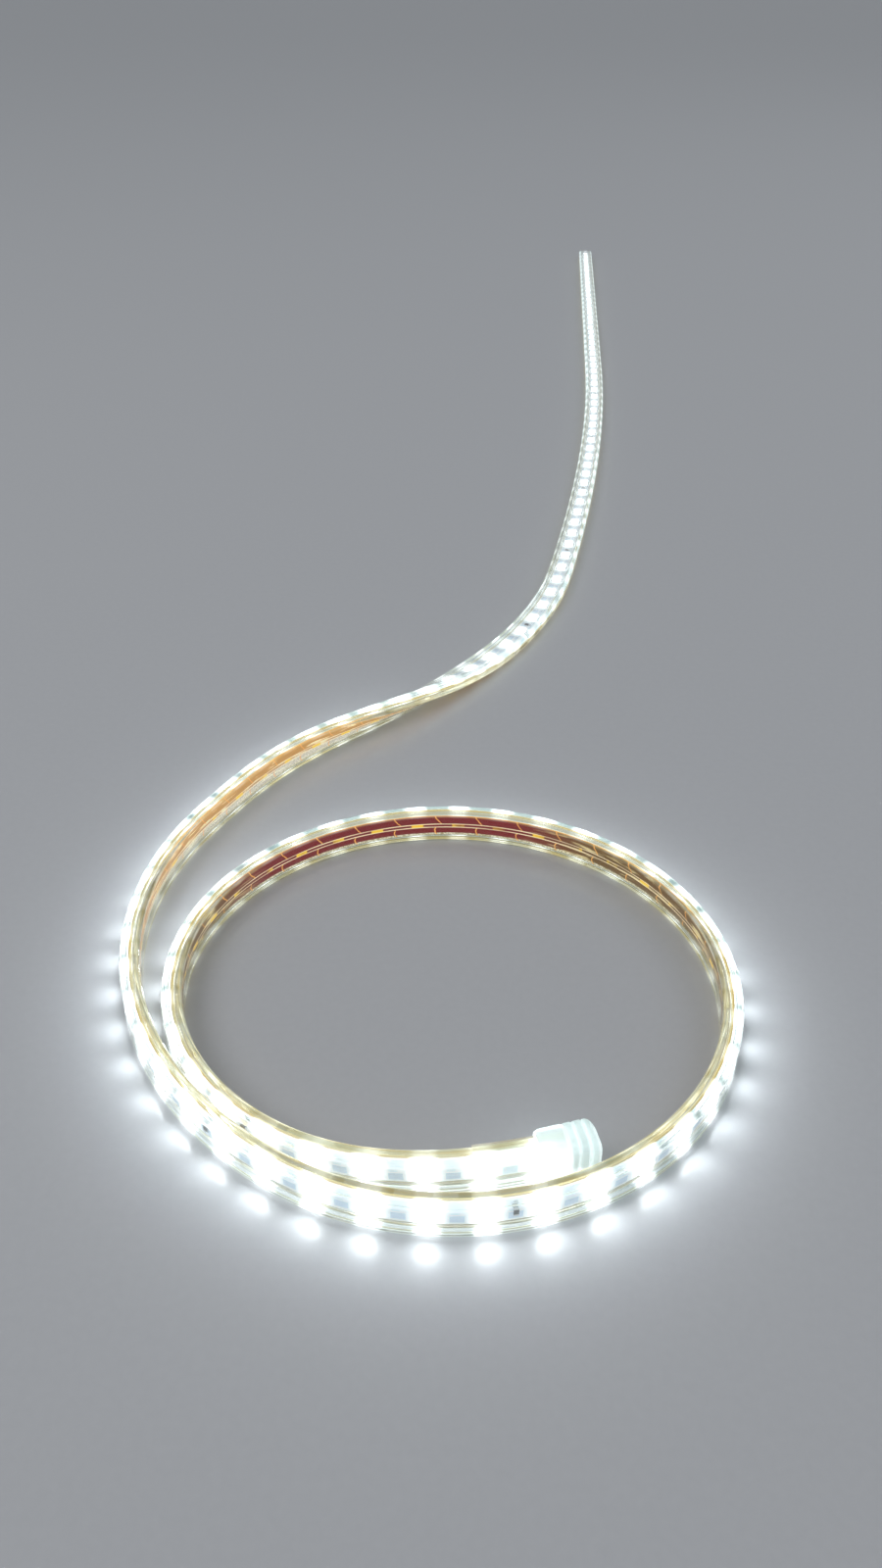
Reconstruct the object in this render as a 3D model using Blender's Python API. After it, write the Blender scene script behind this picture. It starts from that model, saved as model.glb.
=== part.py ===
"""A two metre length of mains LED strip light, coiled on its edge with its free tail lying flat.

A clear PVC sleeve holds two flexible boards of LEDs and a copper bus wire in each edge. A moulded
cap closes one end over a short clear collar, and the other end is cut square. The whole strip
follows one plan line, which starts at the capped end in the middle of the coil.
"""

import math

import bmesh
import bpy
import numpy as np
from mathutils.geometry import tessellate_polygon

# The strip's make-up, in metres: boards soldered end to end, each with its LEDs in one row.
BOARD_LENGTH = 1.0
BOARD_COUNT = 2
LEDS_PER_BOARD = 60

# The sleeve's section. Width runs across the board, and thickness runs the way the LEDs shine.
SLEEVE_WIDTH = 0.0130
SLEEVE_THICKNESS = 0.0070
SLEEVE_CORNER = 0.0019
EDGE_WEB = 0.00025
CLEARANCE = 0.0003

# The wires, the boards and what is soldered on them.
WIRE_DIAMETER = 0.0009
WIRE_CLEARANCE = 0.0003
BOARD_THICKNESS = 0.0003
LED_SIZE = 0.0050
LED_HEIGHT = 0.0016
LED_HEADROOM = 0.0005

# The collar and the cap on the closed end. The cap stands proud of the sleeve all round.
COLLAR_LENGTH = 0.0275
COLLAR_WALL = 0.00045
CAP_GRIP = 0.0087
CAP_NOSE = 0.0103
CAP_LIP_WALL = 0.0009
CAP_LIP_CHAMFER = 0.0004
CAP_LIP_LENGTH = 0.0012
CAP_FLARE = 0.0007
CAP_CORNER = 0.0032
CAP_DOME_LENGTH = 0.0040
CAP_DOME_WIDTH = 0.0078
CAP_DOME_THICKNESS = 0.0048
RING_PLACES = (0.0084, 0.0113, 0.0143)
RING_WIDTH = 0.0008
RING_DEPTH = 0.0003

# The plan line. It starts straight, springs out to the coil's radius, goes round and leaves.
STRAIGHT_END = 0.0166
COIL_RADIUS = 0.0948
INNER_TURN_INSET = 0.0137
SPRING_OUT_ANGLE = math.radians(69.5)
COIL_START_ANGLE = math.radians(-77.4)
WIDENING_START = math.radians(404.5)
WIDENING = 0.0130
COIL_ANGLE = math.radians(507.8)

# The tail's bends after the coil, as an angle, left positive, and a radius.
TAIL_BENDS = ((-26.3, 0.149), (40.5, 0.291), (7.7, 2.98))
BEND_EASING = 0.040

# The strip stands on its edge in the coil. The tail rolls over until the LEDs face up.
ROLL_START = 0.915
ROLL_END = 1.075
RAMP_LENGTH = 0.068

# How finely the curves are divided.
PLAN_STEP = 0.001
EASING_SAMPLES = 9
CORNER_STEPS = 2
CAP_CORNER_STEPS = 3
CAP_DOME_STEPS = 4
WIRE_SIDES = 6
SHARP_EDGE = math.radians(40)

STRIP_LENGTH = BOARD_LENGTH * BOARD_COUNT
LED_PITCH = BOARD_LENGTH / LEDS_PER_BOARD
CHANNEL_RADIUS = WIRE_DIAMETER / 2 + WIRE_CLEARANCE
WIRE_PLACE = SLEEVE_WIDTH / 2 - EDGE_WEB - CHANNEL_RADIUS
CAVITY_WIDTH = 2 * (WIRE_PLACE - CHANNEL_RADIUS - EDGE_WEB)
CAVITY_THICKNESS = CLEARANCE + BOARD_THICKNESS + LED_HEIGHT + LED_HEADROOM
BOARD_WIDTH = CAVITY_WIDTH - 2 * CLEARANCE
BOARD_UNDERSIDE = -CAVITY_THICKNESS / 2 + CLEARANCE
COLLAR_INNER = CLEARANCE
COLLAR_OUTER = COLLAR_INNER + COLLAR_WALL
POCKET_MARGIN = COLLAR_OUTER + CLEARANCE
CAP_MARGIN = POCKET_MARGIN + CAP_LIP_WALL + CAP_FLARE


def clear_scene():
    for item in list(bpy.data.objects):
        bpy.data.objects.remove(item)


def smooth_step(value):
    value = np.clip(value, 0.0, 1.0)
    return value * value * (3 - 2 * value)


def coil_points():
    """Points of the coil: an inset that fades as a bell curve, then a widening with the angle squared."""
    turned = np.linspace(0, COIL_ANGLE, round(COIL_ANGLE * COIL_RADIUS / PLAN_STEP))
    inset = INNER_TURN_INSET * np.exp(-((turned / SPRING_OUT_ANGLE) ** 2))
    widening = WIDENING * np.maximum(turned - WIDENING_START, 0) ** 2
    radius = COIL_RADIUS - inset + widening
    angle = COIL_START_ANGLE - turned
    return np.column_stack([radius * np.cos(angle), radius * np.sin(angle)])


def tail_points(start, heading):
    """Points of the tail: its heading turns through the bends, averaged over the easing length."""
    lengths = [abs(math.radians(turn)) * radius for turn, radius in TAIL_BENDS]
    bend_ends = BEND_EASING / 2 + np.concatenate([[0], np.cumsum(lengths)])
    turned = np.radians(np.concatenate([[0], np.cumsum([turn for turn, _ in TAIL_BENDS])]))
    along = np.arange(PLAN_STEP, STRIP_LENGTH, PLAN_STEP)
    window = np.linspace(-BEND_EASING / 2, BEND_EASING / 2, EASING_SAMPLES)
    headings = heading + np.interp(along + window[:, None], bend_ends, turned).mean(axis=0)
    steps = PLAN_STEP * np.column_stack([np.cos(headings), np.sin(headings)])
    return start + np.cumsum(steps, axis=0)


def unit(vectors):
    return vectors / np.linalg.norm(vectors, axis=-1, keepdims=True)


def plan_line():
    """The strip's plan, as distances from the capped end and points."""
    coil = coil_points()
    first = coil[0] + unit(coil[0] - coil[1]) * STRAIGHT_END
    last = coil[-1] - coil[-2]
    tail = tail_points(coil[-1], math.atan2(last[1], last[0]))
    points = np.vstack([first, coil, tail])
    steps = np.linalg.norm(np.diff(points, axis=0), axis=1)
    return np.concatenate([[0], np.cumsum(steps)]), points


def roll_at(distances):
    return math.pi / 2 * smooth_step((distances - ROLL_START) / (ROLL_END - ROLL_START))


def height_at(distances):
    """Height of the section's middle when it lies on the floor, raised where the cap holds it up."""
    roll = roll_at(distances)
    upright = (SLEEVE_WIDTH / 2 - SLEEVE_CORNER) * np.abs(np.cos(roll))
    flat = (SLEEVE_THICKNESS / 2 - SLEEVE_CORNER) * np.abs(np.sin(roll))
    raised = CAP_MARGIN * (1 - smooth_step((distances - LED_PITCH) / RAMP_LENGTH))
    return upright + flat + SLEEVE_CORNER + raised


class Frames:
    """Middle, width axis and thickness axis of the section at each distance along the strip."""

    def __init__(self, distances):
        along, points = plan_line()
        count = len(distances)
        middle = np.column_stack([np.interp(distances, along, points[:, axis]) for axis in (0, 1)])
        self.middle = np.column_stack([middle, height_at(distances)])
        facets = unit(np.diff(self.middle, axis=0))
        ahead = np.vstack([facets, facets[-1:]])
        behind = np.vstack([facets[:1], facets])
        self.forward = unit(ahead + behind)
        left = unit(np.cross(np.tile([0, 0, 1.0], (count, 1)), self.forward))
        up = np.cross(self.forward, left)
        roll = roll_at(distances)[:, None]
        self.thickness = np.cos(roll) * left + np.sin(roll) * up
        self.width = np.cos(roll) * up - np.sin(roll) * left

    def place(self, station, outline):
        """The outline's (width, thickness) points at a station, or between two for a fraction."""
        low = min(int(station), len(self.middle) - 2)
        share = station - low
        outline = np.asarray(outline)
        ends = [
            self.middle[at] + outline[:, :1] * self.width[at] + outline[:, 1:] * self.thickness[at]
            for at in (low, low + 1)
        ]
        return (1 - share) * ends[0] + share * ends[1]


def rounded_outline(half_width, half_thickness, corner, steps):
    """A rounded rectangle, anticlockwise, with so many facets at each corner."""
    points = []
    for quarter in range(4):
        side_width = 1 if quarter in (0, 3) else -1
        side_thickness = 1 if quarter in (0, 1) else -1
        for step in range(steps + 1):
            angle = math.pi / 2 * (quarter + step / steps)
            points.append(
                (
                    side_width * (half_width - corner) + corner * math.cos(angle),
                    side_thickness * (half_thickness - corner) + corner * math.sin(angle),
                )
            )
    return points


def sleeve_outline(margin):
    """The sleeve's outline, grown by a margin."""
    half_width = SLEEVE_WIDTH / 2 + margin
    half_thickness = SLEEVE_THICKNESS / 2 + margin
    return rounded_outline(half_width, half_thickness, SLEEVE_CORNER + margin, CORNER_STEPS)


def rectangle(half_width, low, high):
    return [(half_width, low), (half_width, high), (-half_width, high), (-half_width, low)]


def ring_outline(centre, radius):
    """A regular polygon round a point on the width axis."""
    angles = [2 * math.pi * (side + 0.5) / WIRE_SIDES for side in range(WIRE_SIDES)]
    return [(centre + radius * math.cos(angle), radius * math.sin(angle)) for angle in angles]


def add_object(name, vertices, faces, material, smooth=True):
    """A closed solid from its faces, which are turned to point outwards."""
    mesh = bpy.data.meshes.new(name)
    mesh.from_pydata([tuple(vertex) for vertex in vertices], [], faces)
    shell = bmesh.new()
    shell.from_mesh(mesh)
    bmesh.ops.recalc_face_normals(shell, faces=shell.faces)
    shell.to_mesh(mesh)
    shell.free()
    if smooth:
        mesh.shade_smooth()
        mesh.set_sharp_from_angle(angle=SHARP_EDGE)
    mesh.materials.append(material)
    item = bpy.data.objects.new(name, mesh)
    bpy.context.scene.collection.objects.link(item)
    return item


def side_triangles(section, here, after, ahead):
    """The two triangles between neighbouring corners of a section and the same corners one station on.

    Their shared edge starts at the corner further along the section, so that nested surfaces fold
    the same way where the strip is twisted.
    """
    if tuple(section[here % len(section)]) < tuple(section[after % len(section)]):
        here, after = after, here
    return [(here, after, after + ahead), (here, after + ahead, here + ahead)]


def swept(name, frames, stations, outline, holes, material):
    """A solid of one section along the stations, with holes that run through it."""
    loops = [outline] + [hole[::-1] for hole in holes]
    section = np.vstack(loops)
    size = len(section)
    vertices = np.vstack([frames.place(station, section) for station in stations])
    faces = []
    for number in range(len(stations) - 1):
        base = number * size
        for loop in loops:
            count = len(loop)
            for corner in range(count):
                faces += side_triangles(section, base + corner, base + (corner + 1) % count, size)
            base += count
    flat = [[(across, through, 0.0) for across, through in loop] for loop in loops]
    last = (len(stations) - 1) * size
    for triangle in tessellate_polygon(flat):
        faces.append(triangle)
        faces.append([last + corner for corner in triangle])
    return add_object(name, vertices, faces, material)


def led_board(name, frames, first_station, material):
    """A flat board along the facets of its sleeve, with one LED standing on each facet."""
    top = BOARD_UNDERSIDE + BOARD_THICKNESS
    board = rectangle(BOARD_WIDTH / 2, BOARD_UNDERSIDE, top)
    foot = [(LED_SIZE / 2, top), (-LED_SIZE / 2, top)]
    head = [(LED_SIZE / 2, top + LED_HEIGHT), (-LED_SIZE / 2, top + LED_HEIGHT)]
    half_share = LED_SIZE / LED_PITCH / 2
    vertices = []
    faces = [(3, 2, 1, 0)]
    for facet in range(LEDS_PER_BOARD + 1):
        station = first_station + facet
        base = len(vertices)
        vertices.extend(frames.place(station, board))
        if facet == LEDS_PER_BOARD:
            faces.append((base, base + 1, base + 2, base + 3))
            break
        vertices.extend(frames.place(station + 0.5 - half_share, foot + head))
        vertices.extend(frames.place(station + 0.5 + half_share, foot + head))
        following = base + 12
        right_low, right_top, left_top, left_low = range(base, base + 4)
        next_right_low, next_right_top, next_left_top, next_left_low = range(following, following + 4)
        foot_1, foot_2, head_1, head_2 = range(base + 4, base + 8)
        foot_4, foot_3, head_4, head_3 = range(base + 8, base + 12)
        faces += [
            (right_low, left_low, next_left_low),
            (right_low, next_left_low, next_right_low),
            (right_low, right_top, next_right_top, next_right_low),
            (left_top, left_low, next_left_low, next_left_top),
            (right_top, left_top, foot_2, foot_1),
            (left_top, next_left_top, foot_3, foot_2),
            (next_left_top, next_right_top, foot_4, foot_3),
            (next_right_top, right_top, foot_1, foot_4),
            (foot_1, foot_2, head_2, head_1),
            (foot_2, foot_3, head_3, head_2),
            (foot_3, foot_4, head_4, head_3),
            (foot_4, foot_1, head_1, head_4),
            (head_1, head_2, head_3, head_4),
        ]
    return add_object(name, vertices, faces, material, smooth=False)


def cap_profile():
    """The cap's outside from lip to end: distances past the lip, margins and shares of the dome."""
    dome_start = CAP_GRIP + CAP_NOSE - CAP_DOME_LENGTH
    lip = POCKET_MARGIN + CAP_LIP_WALL
    rows = [(0.0, POCKET_MARGIN + CAP_LIP_CHAMFER, 0.0), (CAP_LIP_LENGTH, lip, 0.0)]
    for place in RING_PLACES:
        for offset, depth in ((-0.5, 0), (-0.25, 1), (0.25, 1), (0.5, 0)):
            distance = place + offset * RING_WIDTH
            flare = CAP_FLARE * (distance - CAP_LIP_LENGTH) / (dome_start - CAP_LIP_LENGTH)
            rows.append((distance, lip + flare - depth * RING_DEPTH, 0.0))
    for step in range(CAP_DOME_STEPS + 1):
        angle = math.pi / 2 * step / CAP_DOME_STEPS
        distance = dome_start + CAP_DOME_LENGTH * math.sin(angle)
        rows.append((distance, CAP_MARGIN, 1 - math.cos(angle)))
    return rows


def cap_outline(margin, dome_share):
    """The cap's outline at a margin, drawn in by a share of the dome, with corners in proportion."""
    half_width = SLEEVE_WIDTH / 2 + margin - dome_share * CAP_DOME_WIDTH
    half_thickness = SLEEVE_THICKNESS / 2 + margin - dome_share * CAP_DOME_THICKNESS
    corner = CAP_CORNER * half_thickness / (SLEEVE_THICKNESS / 2 + CAP_MARGIN)
    return rounded_outline(half_width, half_thickness, corner, CAP_CORNER_STEPS)


def end_cap(frames, material):
    """A cup that the strip's end is pushed into, with ring grooves round its nose and a domed end."""
    axis = -frames.forward[0]
    lip = frames.middle[0] - axis * CAP_GRIP

    def ring(distance, outline):
        outline = np.array(outline)
        across = outline[:, :1] * frames.width[0] + outline[:, 1:] * frames.thickness[0]
        return lip + axis * distance + across

    pocket = rounded_outline(
        SLEEVE_WIDTH / 2 + POCKET_MARGIN,
        SLEEVE_THICKNESS / 2 + POCKET_MARGIN,
        SLEEVE_CORNER + POCKET_MARGIN,
        CAP_CORNER_STEPS,
    )
    rings = [ring(CAP_GRIP + CLEARANCE, pocket), ring(0, pocket)]
    for distance, margin, dome_share in cap_profile():
        rings.append(ring(distance, cap_outline(margin, dome_share)))
    size = len(rings[0])
    faces = [tuple(range(size))]
    for number in range(len(rings) - 1):
        for corner in range(size):
            here = number * size + corner
            after = number * size + (corner + 1) % size
            faces.append((after, here, here + size, after + size))
    last = (len(rings) - 1) * size
    faces.append(tuple(range(last + size - 1, last - 1, -1)))
    return add_object("end_cap", np.vstack(rings), faces, material)


def make_material(name, colour, roughness, metallic=0.0, alpha=1.0):
    material = bpy.data.materials.new(name)
    material.use_nodes = True
    shader = material.node_tree.nodes["Principled BSDF"]
    shader.inputs["Base Color"].default_value = (*colour, 1)
    shader.inputs["Roughness"].default_value = roughness
    shader.inputs["Metallic"].default_value = metallic
    shader.inputs["Alpha"].default_value = alpha
    return material


def stand_on_origin(items):
    """Parents the pieces to an empty that puts the middle of their base on the origin."""
    corners = np.vstack([[vertex.co for vertex in item.data.vertices] for item in items])
    low = corners.min(axis=0)
    middle = (low + corners.max(axis=0)) / 2
    base = bpy.data.objects.new("strip_base", None)
    bpy.context.scene.collection.objects.link(base)
    base.location = (-middle[0], -middle[1], -low[2])
    for item in items:
        item.parent = base


def build():
    clear_scene()
    clear_pvc = make_material("clear_pvc", (0.86, 0.90, 0.84), 0.15, alpha=0.4)
    milky_pvc = make_material("milky_pvc", (0.80, 0.90, 0.88), 0.30, alpha=0.8)
    white_board = make_material("white_board", (0.92, 0.93, 0.95), 0.45)
    copper = make_material("copper", (0.72, 0.43, 0.25), 0.35, metallic=1.0)

    facets = BOARD_COUNT * LEDS_PER_BOARD
    frames = Frames(np.linspace(0, STRIP_LENGTH, facets + 1))
    stations = list(range(facets + 1))
    cavity = rectangle(CAVITY_WIDTH / 2, -CAVITY_THICKNESS / 2, CAVITY_THICKNESS / 2)
    channels = [ring_outline(side * WIRE_PLACE, CHANNEL_RADIUS) for side in (1, -1)]
    items = [
        swept("pvc_sleeve", frames, stations, sleeve_outline(0), [cavity, *channels], clear_pvc)
    ]
    for side, letter in ((1, "a"), (-1, "b")):
        wire = ring_outline(side * WIRE_PLACE, WIRE_DIAMETER / 2)
        items.append(swept(f"bus_wire_{letter}", frames, stations, wire, [], copper))
    for number in range(BOARD_COUNT):
        first = number * LEDS_PER_BOARD
        items.append(led_board(f"led_board_{number + 1}", frames, first, white_board))
    collar_end = COLLAR_LENGTH / LED_PITCH
    collar_stations = [station for station in stations if station < collar_end] + [collar_end]
    items.append(
        swept(
            "sealing_collar",
            frames,
            collar_stations,
            sleeve_outline(COLLAR_OUTER),
            [sleeve_outline(COLLAR_INNER)],
            clear_pvc,
        )
    )
    items.append(end_cap(frames, milky_pvc))
    stand_on_origin(items)


build()
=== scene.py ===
# %% [markdown]
# # A coiled LED strip light
#
# Strip lighting of this kind is a clear soft tube with a ribbon of circuit board inside. Every
# piece of it follows one line: around a coil, and away along a tail. So the lesson works out that
# line once, as arrays, and then carries each piece's section along it.

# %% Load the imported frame
import math

import bpy
import numpy as np
from mathutils import Matrix, Vector
from mathutils.geometry import tessellate_polygon


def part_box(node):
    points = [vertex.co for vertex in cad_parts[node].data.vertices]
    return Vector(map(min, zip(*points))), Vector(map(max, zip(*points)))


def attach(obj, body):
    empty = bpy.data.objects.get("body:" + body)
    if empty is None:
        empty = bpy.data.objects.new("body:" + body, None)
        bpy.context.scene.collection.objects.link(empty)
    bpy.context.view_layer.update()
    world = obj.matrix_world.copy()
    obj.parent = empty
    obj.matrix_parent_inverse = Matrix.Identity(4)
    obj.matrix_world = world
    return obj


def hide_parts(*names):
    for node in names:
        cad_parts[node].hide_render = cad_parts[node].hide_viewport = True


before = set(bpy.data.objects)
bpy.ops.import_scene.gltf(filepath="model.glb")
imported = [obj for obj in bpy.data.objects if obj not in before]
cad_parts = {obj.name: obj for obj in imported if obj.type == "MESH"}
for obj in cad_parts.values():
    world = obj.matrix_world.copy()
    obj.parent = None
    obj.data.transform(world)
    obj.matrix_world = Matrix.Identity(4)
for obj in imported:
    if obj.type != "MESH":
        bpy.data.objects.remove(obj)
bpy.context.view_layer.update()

# %% [markdown]
# ## The strip's sizes
#
# The section is the one that the solids were made with: a sleeve 13 by 7 mm, a cavity for the
# board, and a round channel for a bus wire in each edge. Width runs across the board, and
# thickness runs the way the LEDs shine. The finer sizes of LEDs and chips come from the usual
# packages of the trade.

# %% Sizes, in metres
BOARD_LENGTH = 1.0
BOARD_COUNT = 2
LEDS_PER_BOARD = 60
STRIP_LENGTH = BOARD_LENGTH * BOARD_COUNT
LED_PITCH = BOARD_LENGTH / LEDS_PER_BOARD

SLEEVE_WIDTH = 0.0130
SLEEVE_THICKNESS = 0.0070
SLEEVE_CORNER = 0.0019
WIRE_DIAMETER = 0.0009
CHANNEL_RADIUS = 0.00075
WIRE_PLACE = 0.0055
CAVITY_WIDTH = 0.0090
CAVITY_THICKNESS = 0.0027
CAVITY_CORNER = 0.0005

BOARD_WIDTH = 0.0084
BOARD_UNDERSIDE = -0.00105
BOARD_TOP = BOARD_UNDERSIDE + 0.0003
BOARD_GAP = 0.0003
COLLAR_LENGTH = 0.0275

# %% [markdown]
# ## The line that the strip follows
#
# Seen from above, the strip starts straight under its cap. Its radius then grows to the coil's
# as a bell curve fades, and widens again with the square of the angle as the strip leaves the
# coil. The tail is a heading that turns through three bends. Averaging the heading over 40 mm
# gives the soft changes of curvature that a springy tube has.

# %% The plan line
STRAIGHT_END = 0.0166
COIL_RADIUS = 0.0948
INNER_TURN_INSET = 0.0137
SPRING_OUT_ANGLE = math.radians(69.5)
COIL_START_ANGLE = math.radians(-77.4)
WIDENING_START = math.radians(404.5)
WIDENING = 0.0130
COIL_ANGLE = math.radians(507.8)
TAIL_BENDS = ((-26.3, 0.149), (40.5, 0.291), (7.7, 2.98))
BEND_EASING = 0.040
EASING_SAMPLES = 9
PLAN_STEP = 0.001


def unit(vectors):
    """Each vector divided by its own length."""
    return vectors / np.linalg.norm(vectors, axis=-1, keepdims=True)


def coil_points():
    """Radius = coil radius - inset exp(-(turned / spring)^2) + widening (turned - start)^2."""
    turned = np.linspace(0, COIL_ANGLE, round(COIL_ANGLE * COIL_RADIUS / PLAN_STEP))
    inset = INNER_TURN_INSET * np.exp(-((turned / SPRING_OUT_ANGLE) ** 2))
    widening = WIDENING * np.maximum(turned - WIDENING_START, 0) ** 2
    radius = COIL_RADIUS - inset + widening
    angle = COIL_START_ANGLE - turned
    return np.column_stack([radius * np.cos(angle), radius * np.sin(angle)])


def tail_points(start, heading):
    """Running sums of small steps along the heading: the bends' turn averaged over a window."""
    lengths = [abs(math.radians(turn)) * radius for turn, radius in TAIL_BENDS]
    bend_ends = BEND_EASING / 2 + np.concatenate([[0], np.cumsum(lengths)])
    turned = np.radians(np.concatenate([[0], np.cumsum([turn for turn, _ in TAIL_BENDS])]))
    along = np.arange(PLAN_STEP, STRIP_LENGTH, PLAN_STEP)
    window = np.linspace(-BEND_EASING / 2, BEND_EASING / 2, EASING_SAMPLES)
    headings = heading + np.interp(along + window[:, None], bend_ends, turned).mean(axis=0)
    steps = PLAN_STEP * np.column_stack([np.cos(headings), np.sin(headings)])
    return start + np.cumsum(steps, axis=0)


def plan_line():
    """Distances from the capped end, and the plan points there."""
    coil = coil_points()
    first = coil[0] + unit(coil[0] - coil[1]) * STRAIGHT_END
    last = coil[-1] - coil[-2]
    tail = tail_points(coil[-1], math.atan2(last[1], last[0]))
    points = np.vstack([first, coil, tail])
    steps = np.linalg.norm(np.diff(points, axis=0), axis=1)
    return np.concatenate([[0], np.cumsum(steps)]), points


PLAN_DISTANCES, PLAN_POINTS = plan_line()
print("plan line:", len(PLAN_POINTS), "points,", round(float(PLAN_DISTANCES[-1]), 3), "m")

# %% [markdown]
# ## How the strip lies on the floor
#
# The coil stands on its edge. Along the tail the section rolls by a quarter turn until the LEDs
# face up. A rounded rectangle that rolls on a floor keeps its middle at a height that follows
# from its corner radius, so no part of the strip floats or sinks. The cap is thicker than the
# sleeve, so it lifts the strip's first stretch a little.

# %% The section's place and axes along the line
ROLL_START = 0.915
ROLL_END = 1.075
RAMP_LENGTH = 0.068
CAP_MARGIN = 0.00265


def smooth_step(value):
    """3 v^2 - 2 v^3, held between 0 and 1."""
    value = np.clip(value, 0.0, 1.0)
    return value * value * (3 - 2 * value)


def roll_at(distances):
    """A quarter turn times the smooth step from the roll's start to its end."""
    return math.pi / 2 * smooth_step((distances - ROLL_START) / (ROLL_END - ROLL_START))


def height_at(distances):
    """(width / 2 - corner) |cos roll| + (thickness / 2 - corner) |sin roll| + corner + cap's lift."""
    roll = roll_at(distances)
    upright = (SLEEVE_WIDTH / 2 - SLEEVE_CORNER) * np.abs(np.cos(roll))
    flat = (SLEEVE_THICKNESS / 2 - SLEEVE_CORNER) * np.abs(np.sin(roll))
    raised = CAP_MARGIN * (1 - smooth_step((distances - LED_PITCH) / RAMP_LENGTH))
    return upright + flat + SLEEVE_CORNER + raised


def line_at(distances):
    """The line's points in three dimensions, in the plan's own frame."""
    plan = [np.interp(distances, PLAN_DISTANCES, PLAN_POINTS[:, axis]) for axis in (0, 1)]
    return np.column_stack([*plan, height_at(distances)])


def axes_at(distances):
    """Forward is the line's slope, left is level, and roll turns thickness from left to up."""
    ahead = np.minimum(distances + PLAN_STEP / 2, STRIP_LENGTH)
    behind = np.maximum(distances - PLAN_STEP / 2, 0)
    forward = unit(line_at(ahead) - line_at(behind))
    left = unit(np.cross([0, 0, 1.0], forward))
    up = np.cross(forward, left)
    roll = roll_at(distances)[:, None]
    thickness = np.cos(roll) * left + np.sin(roll) * up
    width = np.cos(roll) * up - np.sin(roll) * left
    return forward, width, thickness


def plan_to_frame():
    """The shift from the plan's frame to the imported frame, from the box of the sleeve's solid."""
    stations = np.linspace(0, STRIP_LENGTH, BOARD_COUNT * LEDS_PER_BOARD + 1)
    _, width, thickness = axes_at(stations)
    half_width = SLEEVE_WIDTH / 2 * width
    half_thickness = SLEEVE_THICKNESS / 2 * thickness
    reaches = (half_width, -half_width, half_thickness, -half_thickness)
    sides = np.array([line_at(stations) + reach for reach in reaches])
    low = sides.min(axis=(0, 1))
    high = sides.max(axis=(0, 1))
    solid_low, solid_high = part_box("pvc_sleeve")
    middle = (np.array(solid_low) + np.array(solid_high)) / 2
    return np.array([*(middle - (low + high) / 2)[:2], 0.0])


SHIFT = plan_to_frame()
print("the coil's middle is at", np.round(SHIFT[:2], 4))


def carried(distances, across, through):
    """Points of a section carried along the line: line + across width axis + through thickness axis.

    Across and through may change with the distance, as rows of a table, or be one row for all.
    """
    _, width, thickness = axes_at(distances)
    middle = line_at(distances) + SHIFT
    sideways = across[..., None] * width[:, None]
    return middle[:, None] + sideways + through[..., None] * thickness[:, None]


# %% [markdown]
# ## From arrays to meshes
#
# A piece is one or more closed outlines carried along the line. The first outline is the outside,
# and the others are holes. Quads join neighbouring stations, and triangles close the two ends.
# Each point also keeps its place on the strip, as distance, across and through, because the
# finishes follow the strip and not the room.

# %% Outlines
CORNER_STEPS = 6


def rounded_outline(width, thickness, corner, steps):
    """Quarter arcs about the four corner centres, anticlockwise, as an array of (across, through)."""
    angle = np.linspace(0, math.pi / 2, steps + 1)
    quarters = np.arange(4)[:, None] * math.pi / 2 + angle
    diagonal = np.arange(4)[:, None] * math.pi / 2 + math.pi / 4
    across = np.sign(np.cos(diagonal)) * (width / 2 - corner) + corner * np.cos(quarters)
    through = np.sign(np.sin(diagonal)) * (thickness / 2 - corner) + corner * np.sin(quarters)
    return np.column_stack([across.ravel(), through.ravel()])


def circle_outline(centre, radius, sides):
    """centre + radius (cos, sin), for even angles that start half a side past zero."""
    angle = (np.arange(sides) + 0.5) * 2 * math.pi / sides
    return np.column_stack([centre + radius * np.cos(angle), radius * np.sin(angle)])


def grown_section(margin, corner):
    """The sleeve's outline with a margin all round it and a corner radius of its own."""
    width = SLEEVE_WIDTH + 2 * margin
    thickness = SLEEVE_THICKNESS + 2 * margin
    return rounded_outline(width, thickness, corner, CORNER_STEPS)


print("an outline of the sleeve has", len(grown_section(0.0, SLEEVE_CORNER)), "points")

# %% Pieces
SHARP_EDGE = math.radians(50)


def add_piece(name, points, faces, places, finishes, finish_of_face=None):
    """A mesh object at the origin, whose points keep their (distance, across, through)."""
    mesh = bpy.data.meshes.new(name)
    mesh.from_pydata(points.reshape(-1, 3).tolist(), [], faces)
    layer = mesh.attributes.new("strip_place", "FLOAT_VECTOR", "POINT")
    layer.data.foreach_set("vector", np.asarray(places, np.float32).ravel())
    for finish in finishes:
        mesh.materials.append(finish)
    if finish_of_face is not None:
        mesh.polygons.foreach_set("material_index", np.asarray(finish_of_face, np.int32))
    mesh.shade_smooth()
    mesh.set_sharp_from_angle(angle=SHARP_EDGE)
    piece = bpy.data.objects.new(name, mesh)
    bpy.context.scene.collection.objects.link(piece)
    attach(piece, "root")
    return piece


def loop_quads(stations, size, start, count):
    """Quads between each station's closed loop and the next one's, as an array of indices."""
    corner = np.arange(count)
    after = (corner + 1) % count
    base = np.arange(stations - 1)[:, None] * size + start
    quads = np.stack([base + after, base + corner, base + corner + size, base + after + size], axis=-1)
    return quads.reshape(-1, 4)


def end_triangles(loops):
    """Triangles that fill the first loop around the others, all turned anticlockwise."""
    section = np.vstack(loops)
    flat = [[(across, through, 0.0) for across, through in loop] for loop in loops]
    triangles = np.array(tessellate_polygon(flat))
    first, second, third = (section[triangles[:, corner]] for corner in range(3))
    area = np.cross(second - first, third - first)
    triangles[area < 0] = triangles[area < 0][:, ::-1]
    return triangles


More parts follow.
